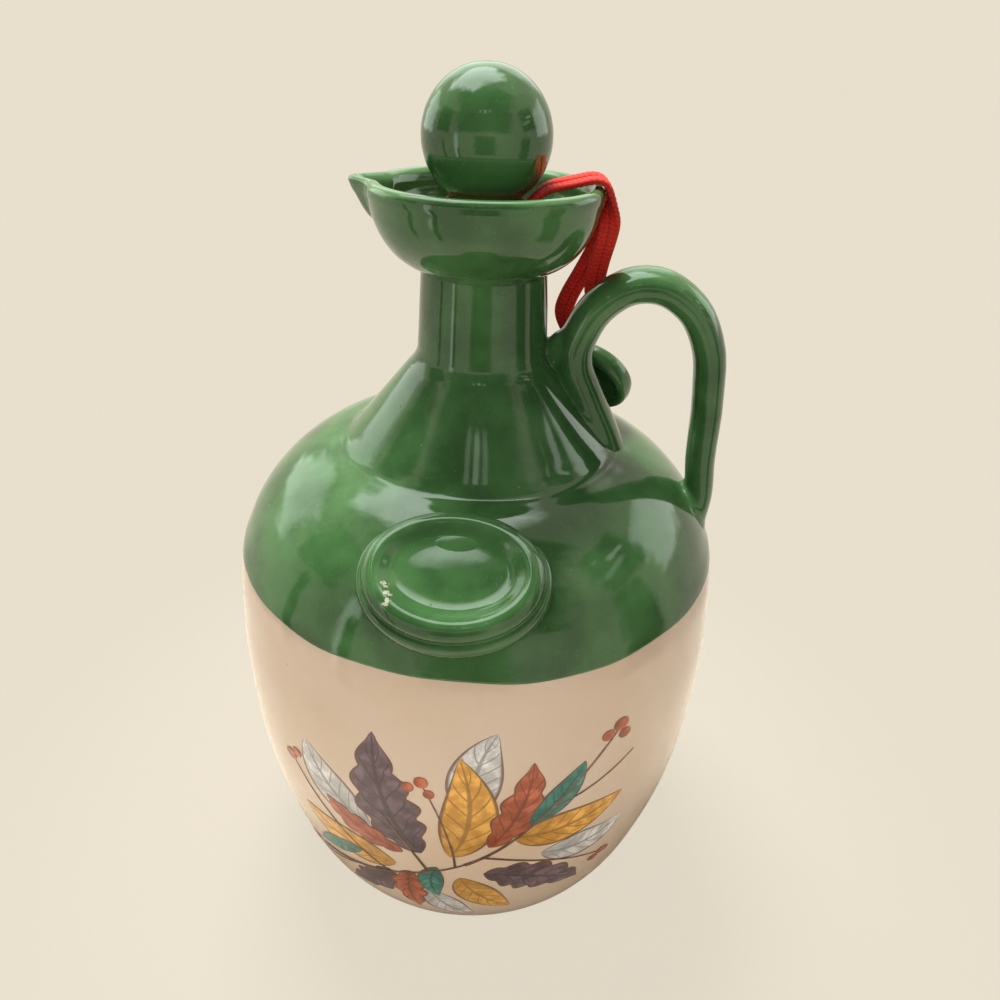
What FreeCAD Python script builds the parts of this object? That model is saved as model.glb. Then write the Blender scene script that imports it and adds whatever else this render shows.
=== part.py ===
import FreeCAD, Part
import math
import os

V = FreeCAD.Vector

# A stoneware jug decanter: lengths in millimetres, +Z up, handle along +X, medallion facing -Y.
# The origin is the middle of the foot ring on the surface that the jug stands on.

# Body shell
belly_radius = 56.0
shoulder_height = 116.7
shoulder_radius = 28.6
foot_radius = 39.3
body_wall = 4.5
base_thickness = 6.0
foot_ring_width = 7.0
foot_recess = 1.5
# How far the line between the two glazes lies below the shoulder
glaze_line_drop = 23.3
# Outline points between foot and shoulder: share of shoulder_height, share of belly_radius
body_outline_shares = (
    (0.0835, 0.839),
    (0.208, 0.921),
    (0.375, 0.983),
    (0.548, 1.0),
    (0.709, 0.983),
    (0.834, 0.928),
    (0.917, 0.814),
)

# Neck, a cone under a slightly tapered tube
cone_rise = 18.6
neck_base_radius = 13.45
tube_rise = 17.1
neck_top_radius = 12.5
neck_fillet = 5.0
bore_radius = 8.8
cone_wall = 4.4

# Pouring bowl with its beak towards -X
bowl_rise = 16.0
rim_radius = 22.3
rim_wall = 2.8
mouth_rise = 3.2
bowl_bulge_shares = (0.655, 0.295)
spout_reach = 26.7
spout_half_width = 9.0
spout_tip_radius = 2.6
spout_depth = 10.0
spout_foot_reach = 19.4
spout_foot_half_width = 4.2
spout_wall = 2.4
spout_gutter_depth = 6.5

# Handle, an oval strap in the XZ plane, from the neck's cone to the shoulder
handle_crown_drop = 1.4
handle_root_rise = 0.3
handle_root_sink = 2.9
handle_foot_drop = 18.7
handle_foot_sink = 2.24
# How far inside its foot the handle's outer run stands
handle_inset = 1.44
handle_root_thickness = 7.8
handle_foot_thickness = 5.6
handle_root_width = 11.4
handle_foot_width = 9.4
# Centreline between root and foot: share of the way out from the neck to the outer run, share of the
# way up from the foot to the crown
handle_path_shares = (
    (0.2185, 0.547),
    (0.158, 0.689),
    (0.197, 0.811),
    (0.3345, 0.943),
    (0.5345, 1.0),
    (0.754, 0.953),
    (0.9195, 0.811),
    (0.989, 0.585),
    (1.011, 0.302),
)

# Front medallion, an oval plaque on the shoulder
medallion_drop = 7.4
medallion_half_width = 16.0
medallion_half_height = 11.0
medallion_tilt_deg = 60.0
medallion_rise = 3.0
medallion_depth = 12.0
medallion_rim_width = 3.0
medallion_dish_depth = 1.7
medallion_rim_round = 1.4
medallion_dish_round = 0.8
medallion_ledge_width = 1.8
medallion_ledge_drop = 2.4
medallion_ledge_round = 1.0

# Stopper: a ball on a stem, with a spigot that carries the cork
ball_radius = 12.0
stem_radius = 6.2
stem_length = 6.0
cork_stand = 3.9
cork_length = 21.0
cork_fit_clearance = 0.15
cork_bottom_radius = 8.1
spigot_radius = 3.5
spigot_length = 12.0
spigot_end_gap = 0.5

# Ribbon: a flat braid doubled into two strands, hitched to the stem and carrying the seal
ribbon_width = 4.2
ribbon_thickness = 1.3
ribbon_gap = 0.3
bight_radius = 1.1
bight_bend = 1.3
bight_leg = 4.4
# Where each strand leaves the loop: out from the loop, across, and up from the rim
front_strand_start = (1.6, 0.2, -3.2)
back_strand_start = (1.6, 4.9, -2.9)
# The route of each strand over the rim: out from the rim, across, and up from the rim
front_strand_route = (
    (-9.3, 0.7, -0.7),
    (-4.9, 1.6, 1.1),
    (0.6, 3.2, 1.5),
    (2.7, 4.7, -4.4),
    (2.3, 6.3, -11.2),
    (1.4, 8.2, -17.6),
)
back_strand_route = (
    (-9.3, 5.8, -0.4),
    (-5.3, 6.9, 1.1),
    (-0.3, 8.3, 1.3),
    (1.6, 9.7, -5.0),
    (-0.3, 11.1, -12.2),
    (-3.4, 11.9, -18.8),
)
# How far each strand hangs straight down to the bight
front_strand_fall = 4.6
back_strand_fall = 4.2

# Seal, a round dished tag that hangs from the ribbon and leans on the neck cone
seal_radius = 9.7
seal_thickness = 4.6
seal_rim_width = 2.4
seal_dish_depth = 1.2
seal_rim_round = 1.0
seal_lug_radius = 2.9
seal_lug_width = 3.0
seal_lug_depth = 4.0
seal_lug_reach = 11.6
seal_facing_deg = 60.0
# How much steeper the seal hangs than the cone that it leans towards
seal_steepening_deg = 5.66
seal_hole_clearance = 0.3
# Where the seal's lug hangs, at the height of the neck's base: out from the neck, across
seal_hang = (7.05, 9.6)

# Construction
cut_overrun = 20.0
loop_clearance = 0.3
same_place = 1e-6
# How much of the shorter run each side of a corner the ribbon's bend takes up
bend_trim_share = 0.45

# Heights above the foot
glaze_line_height = shoulder_height - glaze_line_drop
neck_base_height = shoulder_height + cone_rise
neck_top_height = neck_base_height + tube_rise
mouth_height = neck_top_height + mouth_rise
rim_height = neck_top_height + bowl_rise
cork_top_height = mouth_height + cork_stand
stem_top_height = cork_top_height + stem_length
ball_height = stem_top_height + math.sqrt(ball_radius**2 - stem_radius**2)
handle_top_height = neck_top_height - handle_crown_drop
handle_root_height = shoulder_height + handle_root_rise
handle_foot_height = shoulder_height - handle_foot_drop
medallion_height = shoulder_height - medallion_drop

z_axis = V(0, 0, 1)
origin = V(0, 0, 0)


def at(radius, height):
    """A point of a turned profile, in the XZ plane."""
    return V(radius, 0, height)


def turn(*edges):
    """The solid that a closed profile of edges makes when it is turned about Z."""
    wire = Part.Wire(Part.sortEdges(list(edges))[0])
    return Part.Face(wire).revolve(origin, z_axis, 360)


def line(start, end):
    return Part.LineSegment(start, end).toShape()


def polyline(*points):
    return [line(a, b) for a, b in zip(points, points[1:])]


def slab(low, high):
    """A block wider than the jug, between two heights."""
    side = belly_radius + cut_overrun
    return Part.makeBox(2 * side, 2 * side, high - low, V(-side, -side, low))


def rod(radius, low, high):
    return Part.makeCylinder(radius, high - low, V(0, 0, low))


# Body shell and shoulder shell

body_outline = Part.BSplineCurve()
body_outline.interpolate(
    [at(foot_radius, 0)]
    + [at(r * belly_radius, z * shoulder_height) for z, r in body_outline_shares]
    + [at(shoulder_radius, shoulder_height)]
)


def outline_radius(height):
    """The radius of the body outline at a height, by halving."""
    low, high = body_outline.FirstParameter, body_outline.LastParameter
    for _ in range(50):
        middle = (low + high) / 2
        if body_outline.value(middle).z < height:
            low = middle
        else:
            high = middle
    return body_outline.value(low).x


def inside_outline(wall, count=14):
    """The body outline moved inwards by a wall, as a smooth curve."""
    first, last = body_outline.FirstParameter, body_outline.LastParameter
    points = []
    for i in range(count + 1):
        u = first + (last - first) * i / count
        along = body_outline.tangent(u)[0]
        points.append(body_outline.value(u) + V(-along.z, 0, along.x) * wall)
    curve = Part.BSplineCurve()
    curve.interpolate(points)
    return curve


def filled(curve):
    """A turned solid between an outline and the axis."""
    low, high = curve.StartPoint, curve.EndPoint
    return turn(curve.toShape(), *polyline(high, at(0, high.z), at(0, low.z), low))


body_form = filled(body_outline)
cavity = filled(inside_outline(body_wall)).cut(slab(-cut_overrun, base_thickness))

cone_slope = (shoulder_radius - neck_base_radius) / (neck_base_height - shoulder_height)
cone_foot_radius = shoulder_radius - cone_wall * math.hypot(1, cone_slope)
cone_bore_height = shoulder_height + (cone_foot_radius - bore_radius) / cone_slope

jug_shell = body_form.cut(cavity)
jug_shell = jug_shell.cut(rod(cone_foot_radius, glaze_line_height, shoulder_height + cut_overrun))
jug_shell = jug_shell.cut(rod(foot_radius - foot_ring_width, -cut_overrun, foot_recess))
body_shell = jug_shell.common(slab(-cut_overrun, glaze_line_height))
shoulder_shell = jug_shell.common(slab(glaze_line_height, shoulder_height + cut_overrun))

# Neck

neck_profile = (
    at(shoulder_radius, shoulder_height),
    at(neck_base_radius, neck_base_height),
    at(neck_top_radius, neck_top_height),
)


def soften_neck(solid):
    """Rounds the inward corner between the cone and the tube."""
    corner = [
        e
        for e in solid.Edges
        if abs(e.BoundBox.ZMin - neck_base_height) < same_place and e.BoundBox.ZLength < same_place
    ]
    return solid.makeFillet(neck_fillet, corner)


neck_form = soften_neck(
    turn(*polyline(*neck_profile, at(0, neck_top_height), at(0, shoulder_height), neck_profile[0]))
)
neck_bore = turn(
    *polyline(
        at(cone_foot_radius, shoulder_height),
        at(bore_radius, cone_bore_height),
        at(bore_radius, neck_top_height),
        at(0, neck_top_height),
        at(0, shoulder_height),
        at(cone_foot_radius, shoulder_height),
    )
)
neck = neck_form.cut(neck_bore)

# Pouring bowl


def bowl_curve(low, high):
    """The bulging side of the bowl between two profile points."""
    out, up = bowl_bulge_shares
    middle = at(low.x + (high.x - low.x) * out, low.z + (high.z - low.z) * up)
    return Part.Arc(low, middle, high).toShape()


def beak(height, reach, half_width, root):
    """The outline of the beak at one height: two flanks that run into a round tip."""
    tip = V(spout_tip_radius - reach, 0, height)
    flank = V(-root, half_width, height)
    away = flank - tip
    turn_off = math.acos(spout_tip_radius / away.Length)
    aim = math.atan2(away.y, away.x) + turn_off
    touch = tip + V(math.cos(aim), math.sin(aim), 0) * spout_tip_radius
    mirrored = V(touch.x, -touch.y, height)
    edges = polyline(mirrored, V(-root, -half_width, height), flank, touch)
    return Part.Wire(edges + [Part.Arc(touch, V(-reach, 0, height), mirrored).toShape()])


def beak_solid(wall, low, high):
    """The beak less a wall, from one height to another, on straight flanks."""
    sections = []
    for height in (low, high):
        share = (height - (rim_height - spout_depth)) / spout_depth
        reach = spout_foot_reach + (spout_reach - spout_foot_reach) * share - wall
        half_width = spout_foot_half_width + (spout_half_width - spout_foot_half_width) * share
        root = reach - (spout_reach - rim_radius) * share - rim_wall - spout_tip_radius / 2
        sections.append(beak(height, reach, half_width - wall, root))
    return Part.makeLoft(sections, True, True)


neck_joint = at(neck_top_radius, neck_top_height)
rim_outer = at(rim_radius, rim_height)
rim_inner = at(rim_radius - rim_wall, rim_height)
mouth = at(bore_radius, mouth_height)
bowl_form = turn(
    bowl_curve(neck_joint, rim_outer),
    *polyline(rim_outer, at(0, rim_height), at(0, neck_top_height), neck_joint)
)
bowl_hollow = turn(
    bowl_curve(mouth, rim_inner),
    *polyline(rim_inner, at(0, rim_height), at(0, mouth_height), mouth)
)
bowl_form = bowl_form.fuse(beak_solid(0, rim_height - spout_depth, rim_height))
pouring_bowl = bowl_form.cut(bowl_hollow)
pouring_bowl = pouring_bowl.cut(beak_solid(spout_wall, rim_height - spout_gutter_depth, rim_height))
pouring_bowl = pouring_bowl.cut(rod(bore_radius, neck_top_height, rim_height)).removeSplitter()

# Handle

handle_rise = handle_top_height - handle_foot_height
handle_root_radius = shoulder_radius - handle_root_rise * cone_slope - handle_root_sink
handle_foot_radius = outline_radius(handle_foot_height) - handle_foot_sink
handle_reach = handle_foot_radius - handle_inset - neck_base_radius
handle_path = Part.BSplineCurve()
handle_path.interpolate(
    [at(handle_root_radius, handle_root_height)]
    + [
        at(neck_base_radius + x * handle_reach, handle_foot_height + z * handle_rise)
        for x, z in handle_path_shares
    ]
    + [at(handle_foot_radius, handle_foot_height)]
)


def oval(centre, half_long, half_short):
    """An elliptical wire from its centre and its two half axes, the longer one first."""
    return Part.Wire(Part.Ellipse(centre + half_long, centre + half_short, centre).toShape())


def handle_section(share):
    """The strap's oval section a share of the way from the neck to the shoulder."""
    first, last = handle_path.FirstParameter, handle_path.LastParameter
    u = first + (last - first) * share
    along = handle_path.tangent(u)[0]
    width = handle_root_width + (handle_foot_width - handle_root_width) * share
    thickness = handle_root_thickness + (handle_foot_thickness - handle_root_thickness) * share
    return oval(
        handle_path.value(u), V(0, width / 2, 0), V(along.z, 0, -along.x) * (thickness / 2)
    )


handle_stations = 12
handle = Part.makeLoft(
    [handle_section(i / handle_stations) for i in range(handle_stations + 1)], True, False
)
handle = handle.cut(body_form).cut(neck_form)

# Front medallion

medallion_tilt = math.radians(medallion_tilt_deg)
medallion_facing = V(0, -math.cos(medallion_tilt), math.sin(medallion_tilt))
medallion_upward = V(0, math.sin(medallion_tilt), math.cos(medallion_tilt))
medallion_seat = V(0, -outline_radius(medallion_height), medallion_height)
medallion_centre = medallion_seat + medallion_facing * medallion_rise


def medallion_block(inset, drop, depth):
    """An oval block under the plaque's face, smaller by an inset all round and lower by a drop."""
    face = Part.Face(
        oval(
            medallion_centre - medallion_facing * drop,
            V(medallion_half_width - inset, 0, 0),
            medallion_upward * (medallion_half_height - inset),
        )
    )
    return face.extrude(medallion_facing * -depth)


def round_face_edges(solid, radius, centre, facing):
    """Rounds the edges of a solid that lie in a plane."""
    edges = [
        e
        for e in solid.Edges
        if all(abs((p - centre).dot(facing)) < same_place for p in e.discretize(5))
    ]
    return solid.makeFillet(radius, edges)


ledge = medallion_block(-medallion_ledge_width, medallion_ledge_drop, medallion_depth)
ledge_centre = medallion_centre - medallion_facing * medallion_ledge_drop
ledge = round_face_edges(ledge, medallion_ledge_round, ledge_centre, medallion_facing)
plaque = medallion_block(0, 0, medallion_depth)
plaque = plaque.cut(medallion_block(medallion_rim_width, 0, medallion_dish_depth))
plaque = round_face_edges(plaque, medallion_rim_round, medallion_centre, medallion_facing)
dish_floor = medallion_centre - medallion_facing * medallion_dish_depth
plaque = round_face_edges(plaque, medallion_dish_round, dish_floor, medallion_facing)
front_medallion = plaque.fuse(ledge).cut(body_form).removeSplitter()

# Stopper

stopper_ball = turn(
    Part.Arc(
        at(0, ball_height + ball_radius), at(ball_radius, ball_height), at(stem_radius, stem_top_height)
    ).toShape(),
    *polyline(
        at(stem_radius, stem_top_height),
        at(stem_radius, cork_top_height),
        at(spigot_radius, cork_top_height),
        at(spigot_radius, cork_top_height - spigot_length),
        at(0, cork_top_height - spigot_length),
        at(0, ball_height + ball_radius),
    )
)
cork_top_radius = bore_radius - cork_fit_clearance
stopper_cork = Part.makeCone(
    cork_bottom_radius, cork_top_radius, cork_length, V(0, 0, cork_top_height - cork_length)
)
stopper_cork = stopper_cork.cut(
    rod(spigot_radius, cork_top_height - spigot_length - spigot_end_gap, cork_top_height)
)

# Ribbon

loop_inner_radius = stem_radius + loop_clearance
loop_outer_radius = loop_inner_radius + ribbon_thickness
loop_low = cork_top_height + ribbon_gap
ribbon_loop = rod(loop_outer_radius, loop_low, loop_low + ribbon_width).cut(
    rod(loop_inner_radius, loop_low, loop_low + ribbon_width)
)


def rounded_route(name, points):
    """Straight runs joined by arcs as large as the runs allow, as one wire."""
    edges, start, radii = [], points[0], []
    for before, corner, after in zip(points, points[1:], points[2:]):
        back, ahead = before - corner, after - corner
        half_turn = (math.pi - back.getAngle(ahead)) / 2
        trim = bend_trim_share * min(back.Length, ahead.Length)
        radii.append(trim / math.tan(half_turn))
        first = corner + back.normalize() * trim
        last = corner + ahead.normalize() * trim
        inward = (back + ahead).normalize()
        middle = corner + inward * (radii[-1] / math.cos(half_turn) - radii[-1])
        edges += [line(start, first), Part.Arc(first, middle, last).toShape()]
        start = last
    edges.append(line(start, points[-1]))
    wire = Part.Wire(edges)
    print(name, "length %.1f" % wire.Length, "radii", ["%.1f" % r for r in radii])
    return wire


def strand(name, leave, route, fall, end):
    """A flat strand from the loop over the rim to the bight, level across its width at the start."""
    points = [V(loop_outer_radius, 0, rim_height) + V(*leave)]
    points += [V(rim_radius, 0, rim_height) + V(*p) for p in route]
    points += [end + z_axis * fall, end]
    path = rounded_route(name, points)
    along = path.Edges[0].tangentAt(path.Edges[0].FirstParameter)
    across = z_axis.cross(along).normalize()
    proud = along.cross(across)
    start = path.Edges[0].valueAt(path.Edges[0].FirstParameter)
    corners = [
        start + across * (w * ribbon_width / 2) + proud * (t * ribbon_thickness / 2)
        for w, t in ((1, 1), (-1, 1), (-1, -1), (1, -1), (1, 1))
    ]
    sweep = Part.BRepOffsetAPI.MakePipeShell(path)
    sweep.setBiNormalMode(across)
    sweep.add(Part.makePolygon(corners))
    sweep.build()
    sweep.makeSolid()
    solid = sweep.shape()
    print(name, "volume share %.3f" % (solid.Volume / (ribbon_width * ribbon_thickness * path.Length)))
    return solid


# Seal

seal_lean = math.atan(cone_slope) - math.radians(seal_steepening_deg)
seal_facing = math.radians(seal_facing_deg)
seal_out = V(math.cos(seal_facing), math.sin(seal_facing), 0)
seal_across = V(math.sin(seal_facing), -math.cos(seal_facing), 0)
seal_down = seal_out * math.sin(seal_lean) - z_axis * math.cos(seal_lean)
seal_normal = seal_out * math.cos(seal_lean) + z_axis * math.sin(seal_lean)
seal_eye = V(neck_base_radius + seal_hang[0], seal_hang[1], neck_base_height)
seal_centre = seal_eye + seal_down * seal_lug_reach


def disc(radius, centre, axis, thickness):
    """A cylinder that is centred on a point."""
    return Part.makeCylinder(radius, thickness, centre - axis * (thickness / 2), axis)


seal_pendant = disc(seal_radius, seal_centre, seal_normal, seal_thickness)
for side in (1, -1):
    face_centre = seal_centre + seal_normal * (side * seal_thickness / 2)
    dish = disc(seal_radius - seal_rim_width, face_centre, seal_normal, 2 * seal_dish_depth)
    seal_pendant = seal_pendant.cut(dish)
    seal_pendant = round_face_edges(seal_pendant, seal_rim_round, face_centre, seal_normal)
lug = disc(seal_lug_radius, seal_eye, seal_across, seal_lug_width)
lug_stem = Part.makeBox(
    seal_lug_depth, seal_lug_width, seal_lug_reach - seal_radius + seal_rim_width / 2
)
lug_corner = seal_eye - seal_normal * (seal_lug_depth / 2) - seal_across * (seal_lug_width / 2)
seal_turn = FreeCAD.Rotation(seal_normal, seal_across, seal_down, "ZXY")
lug_stem.Placement = FreeCAD.Placement(lug_corner, seal_turn)
bight_hole = disc(bight_radius + seal_hole_clearance, seal_eye, seal_across, 2 * seal_lug_width)
seal_pendant = seal_pendant.fuse(lug).fuse(lug_stem).cut(bight_hole).removeSplitter()

# Ribbon bight, which passes straight through the seal's lug between two bends, and the strands above it

bight_half_span = seal_lug_width / 2 + ribbon_gap + bight_bend


def bight_side(side):
    """The top of one leg, the start, middle and end of the bend under it."""
    foot = seal_eye + seal_across * (side * bight_half_span)
    inward = seal_across * (-side * bight_bend)
    upward = z_axis * bight_bend
    middle = foot + inward + upward - (inward + upward) * math.sqrt(0.5)
    return foot + upward + z_axis * bight_leg, foot + upward, middle, foot + inward


front_top, *front_bend = bight_side(1)
back_top, *back_bend = bight_side(-1)
bight_path = Part.Wire(
    [
        line(front_top, front_bend[0]),
        Part.Arc(*front_bend).toShape(),
        line(front_bend[-1], back_bend[-1]),
        Part.Arc(*reversed(back_bend)).toShape(),
        line(back_bend[0], back_top),
    ]
)
bight_section = Part.Wire(Part.Circle(front_top, z_axis, bight_radius).toShape())
ribbon_bight = bight_path.makePipeShell([bight_section], True, False)
ribbon_strand_front = strand(
    "ribbon_strand_front", front_strand_start, front_strand_route, front_strand_fall, front_top
)
ribbon_strand_back = strand(
    "ribbon_strand_back", back_strand_start, back_strand_route, back_strand_fall, back_top
)

# Files

nodes = {
    "body_shell": body_shell,
    "shoulder_shell": shoulder_shell,
    "neck": neck,
    "pouring_bowl": pouring_bowl,
    "handle": handle,
    "front_medallion": front_medallion,
    "stopper_ball": stopper_ball,
    "stopper_cork": stopper_cork,
    "ribbon_loop": ribbon_loop,
    "ribbon_strand_front": ribbon_strand_front,
    "ribbon_strand_back": ribbon_strand_back,
    "ribbon_bight": ribbon_bight,
    "seal_pendant": seal_pendant,
}
os.makedirs("parts", exist_ok=True)
for name, shape in nodes.items():
    shape.exportStep(os.path.join("parts", name + ".step"))
    print(name, "solids", len(shape.Solids), "volume %.1f" % shape.Volume, "valid", shape.isValid())
print("inside volume of the body, ml: %.0f" % (cavity.Volume / 1000))
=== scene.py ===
"""A stoneware jug decanter with a corked ball stopper, a braided ribbon and a round seal."""

import math
from contextlib import contextmanager
from itertools import accumulate

import bmesh
import bpy
from mathutils import Matrix, Vector


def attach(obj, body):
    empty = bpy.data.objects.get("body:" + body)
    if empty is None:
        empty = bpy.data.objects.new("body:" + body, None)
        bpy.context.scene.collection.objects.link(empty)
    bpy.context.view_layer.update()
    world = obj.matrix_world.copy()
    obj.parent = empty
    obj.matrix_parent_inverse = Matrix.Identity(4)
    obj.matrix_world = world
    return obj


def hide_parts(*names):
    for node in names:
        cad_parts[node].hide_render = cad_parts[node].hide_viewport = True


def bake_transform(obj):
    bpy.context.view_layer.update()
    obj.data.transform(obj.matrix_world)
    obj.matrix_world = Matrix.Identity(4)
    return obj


bl_info = {
    "name": "Jug decanter",
    "version": (1, 0, 0),
    "blender": (4, 5, 0),
    "location": "View3D > Sidebar > Jug decanter",
    "description": "Builds a glazed stoneware jug decanter with its stopper, ribbon and seal",
    "category": "Add Mesh",
}

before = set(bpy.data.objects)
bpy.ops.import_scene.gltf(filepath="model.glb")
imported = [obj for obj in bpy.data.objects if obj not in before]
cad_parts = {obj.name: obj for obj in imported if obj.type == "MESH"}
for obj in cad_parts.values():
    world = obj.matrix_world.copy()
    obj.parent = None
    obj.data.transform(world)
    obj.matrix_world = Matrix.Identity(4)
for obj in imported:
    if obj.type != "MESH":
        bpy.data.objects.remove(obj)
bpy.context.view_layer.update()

# Sizes are written in millimetres, as in the CAD source, and Blender's unit is the metre.
MM = 0.001
FULL_TURN = 2 * math.pi
SAME_PLACE = 1e-7
UP = Vector((0, 0, 1))

# Profile points are (radius, height). A third entry marks a sharp corner.
CORNER = True

SPIN_STEPS = 160
PROFILE_STEPS = 8

CREAM_BODY_PROFILE = (
    (0, 1.5, CORNER), (31.2, 1.5), (32.2, 1.1), (32.8, 0.25), (33.8, 0, CORNER),
    (37.9, 0, CORNER), (39.0, 0.15), (39.8, 0.7), (44.1, 5), (46.98, 9.74), (51.58, 24.27),
    (55.05, 43.76), (56, 63.95), (55.05, 82.74), (53.3, 93.2), (52.1, 95.2), (50.6, 98, CORNER),
    (46.4, 98, CORNER), (50.5, 82.7), (51.5, 64), (50.5, 44), (47, 24.5), (42, 11.5), (35, 7),
    (20, 6), (0, 6, CORNER),
)
# The lip of the green glaze, then shoulder, crease, cone and tube, then the bore and the inner wall
GREEN_SKIN_PROFILE = (
    (52.6, 93.1, CORNER), (53.35, 92.95), (53.62, 93.3), (53.5, 94), (52.05, 97.33),
    (49.55, 102), (45.6, 107), (39.8, 112), (34.2, 115), (30.9, 116.15), (29.3, 116.75),
    (28.1, 117.75), (26.0, 120.1), (20.0, 127.35), (16.0, 132.25), (14.45, 134.2),
    (13.65, 135.9), (13.4, 138), (12.9, 146), (12.6, 151), (12.5, 153.4, CORNER),
    (8.8, 153.4, CORNER), (8.8, 136.5), (8.95, 134.2), (10.5, 131.9), (22.6, 117), (27, 114.2),
    (37, 108), (45, 100), (48.6, 93.2, CORNER),
)
# Lobes, depth and lag of the waves in the lip of the glaze
GLAZE_WAVES = ((3, 1, 1.1), (7, 0.7, 0.4), (17, 0.35, 2))

BOWL_PROFILE = (
    (8.9, 153.3, CORNER), (12.35, 152.0, CORNER), (12.9, 152.5), (16.3, 154.5), (18.92, 157.12),
    (21.0, 161.0), (22.0, 165.0), (22.25, 166.9), (21.9, 167.9), (20.85, 168.4), (19.75, 168.1),
    (19.0, 167.1), (18.5, 164.4), (17.3, 161.5), (15.5, 159.3), (12.4, 157.2), (10.0, 156.2),
    (9.0, 155.3), (8.85, 154.3),
)
STOPPER_PROFILE_FOOT = (
    (0, 147.6, CORNER), (3.2, 147.6), (3.5, 148.2), (3.5, 159.5, CORNER), (5.9, 159.5),
    (6.2, 159.9), (6.2, 162.4), (6.45, 164.6),
)
# Degrees of the ball's outline, from the stem up
BALL_LATITUDES = (-54, -42, -30, -15, 0, 15, 30, 45, 60, 75)
CORK_PROFILE = (
    (0, 138.5, CORNER), (7.3, 138.5), (8.0, 138.8), (8.16, 139.6), (8.38, 149), (8.62, 158.6),
    (8.4, 159.3), (7.8, 159.5), (3.7, 159.5, CORNER), (3.6, 147, CORNER), (0, 147, CORNER),
)

# Handle centreline in the XZ plane, from the neck's cone up and over to the shoulder
HANDLE_PATH = (
    (29.5, 110.5), (26.4, 118.0), (22.0, 127.2), (19.2, 134.5), (20.25, 141.0), (25.0, 148.0),
    (31.9, 151.0), (39.5, 148.5), (45.2, 141.0), (47.6, 129.0), (48.5, 114.0), (49.5, 104.5),
    (48.4, 94.5),
)

# Pads of clay that web the handle into neck and shoulder: middle, radii and lean in degrees
HANDLE_WEBS = (
    ((16.0, 0, 136.6), (2.8, 3.4, 4.2), 0),
    ((48.9, 0, 101.4), (2.0, 7.2, 6.4), -28),
)

# Medallion rings from the middle out: inset from the oval's edge, height over its face
MEDALLION_CENTRE = Vector((0, -44.73, 111.9))
MEDALLION_FACING = Vector((0, -0.5, 0.866025))
MEDALLION_UPWARD = Vector((0, 0.866025, 0.5))
MEDALLION_RINGS = (
    (10.6, -2.2), (7.4, -2.2), (6.2, -2.1), (5.3, -1.75), (4.5, -1.15), (3.7, -0.5),
    (3.0, -0.1), (2.3, 0.0), (1.6, -0.15), (0.9, -0.6), (0.3, -1.3), (0.0, -2.1), (0.1, -2.75),
    (0.0, -3.1), (-0.3, -3.15), (-0.75, -3.25), (-1.1, -3.65), (-1.4, -4.5), (-1.5, -5.6),
    (-1.55, -7.2),
)
MEDALLION_TOP_DROP = 1.5
# Places and radii of the chips in its rim
MEDALLION_CHIPS = (
    ((-11.4, -47.57, 109.5), 1.0),
    ((-10.6, -49.4, 108.91), 1.1),
    ((-10.5, -51.05, 108.14), 0.9),
)

# Seal: profile of the disc about its own axis, then where it hangs
SEAL_PROFILE = (
    (0, -1.15, CORNER), (5.6, -1.15), (6.9, -1.4), (7.6, -2.05), (8.5, -2.3), (9.3, -1.9),
    (9.7, -0.9), (9.7, 0.9), (9.3, 1.9), (8.5, 2.3), (7.6, 2.05), (6.9, 1.4), (5.6, 1.15),
    (0, 1.15, CORNER),
)
SEAL_EYE = Vector((20.5, 9.6, 135.3))
SEAL_CENTRE = Vector((23.70, 15.14, 125.63))
SEAL_ACROSS = Vector((0.866025, -0.5, 0))
SEAL_NORMAL = Vector((0.41694, 0.72217, 0.55194))

# Control points of the ribbon's two strands, from the stem over the rim to the bight
FRONT_STRAND_ROUTE = (
    (7.6, -2.0, 163.6), (10.2, -2.2, 167.4), (15.4, -2.2, 168.6), (21.8, -1.6, 170.2),
    (23.8, -0.4, 166.2), (23.6, 1.6, 159.6), (22.4, 4.6, 153.0), (22.0, 7.6, 147.0),
    (23.2, 8.05, 141.0),
)
BACK_STRAND_ROUTE = (
    (7.4, 2.3, 163.8), (10.0, 2.4, 167.6), (15.2, 2.8, 168.8), (21.4, 3.6, 170.2),
    (23.7, 4.8, 165.8), (22.8, 7.2, 158.0), (19.8, 9.8, 150.6), (16.9, 11.2, 144.6),
    (15.8, 11.6, 139.6), (17.6, 11.2, 136.4),
)
BIGHT_ROUTE = (
    (23.2, 8.05, 141.6), (23.2, 8.05, 138.4), (23.2, 8.05, 135.3), (20.5, 9.6, 135.3),
    (17.8, 11.15, 135.3), (17.3, 11.3, 136.8), (16.4, 11.5, 138.6),
)

# Tints and gloss of the glazes that stay as they are
PINHOLE = (0.006, 0.02, 0.006)
IRON_SPECK = (0.25, 0.13, 0.06)
WARMER_CREAM = (0.95, 0.91, 0.86)
GREEN_GLAZE_IOR = 1.54
CREAM_GLAZE_IOR = 1.52


def extent(name, description, millimetres):
    """A length that a user would change."""
    return bpy.props.FloatProperty(
        name=name, description=description, default=millimetres * MM, unit="LENGTH"
    )


def colour(name, description, default):
    """A colour that a user would change."""
    return bpy.props.FloatVectorProperty(
        name=name, description=description, default=default, size=3, min=0, max=1, subtype="COLOR"
    )


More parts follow.
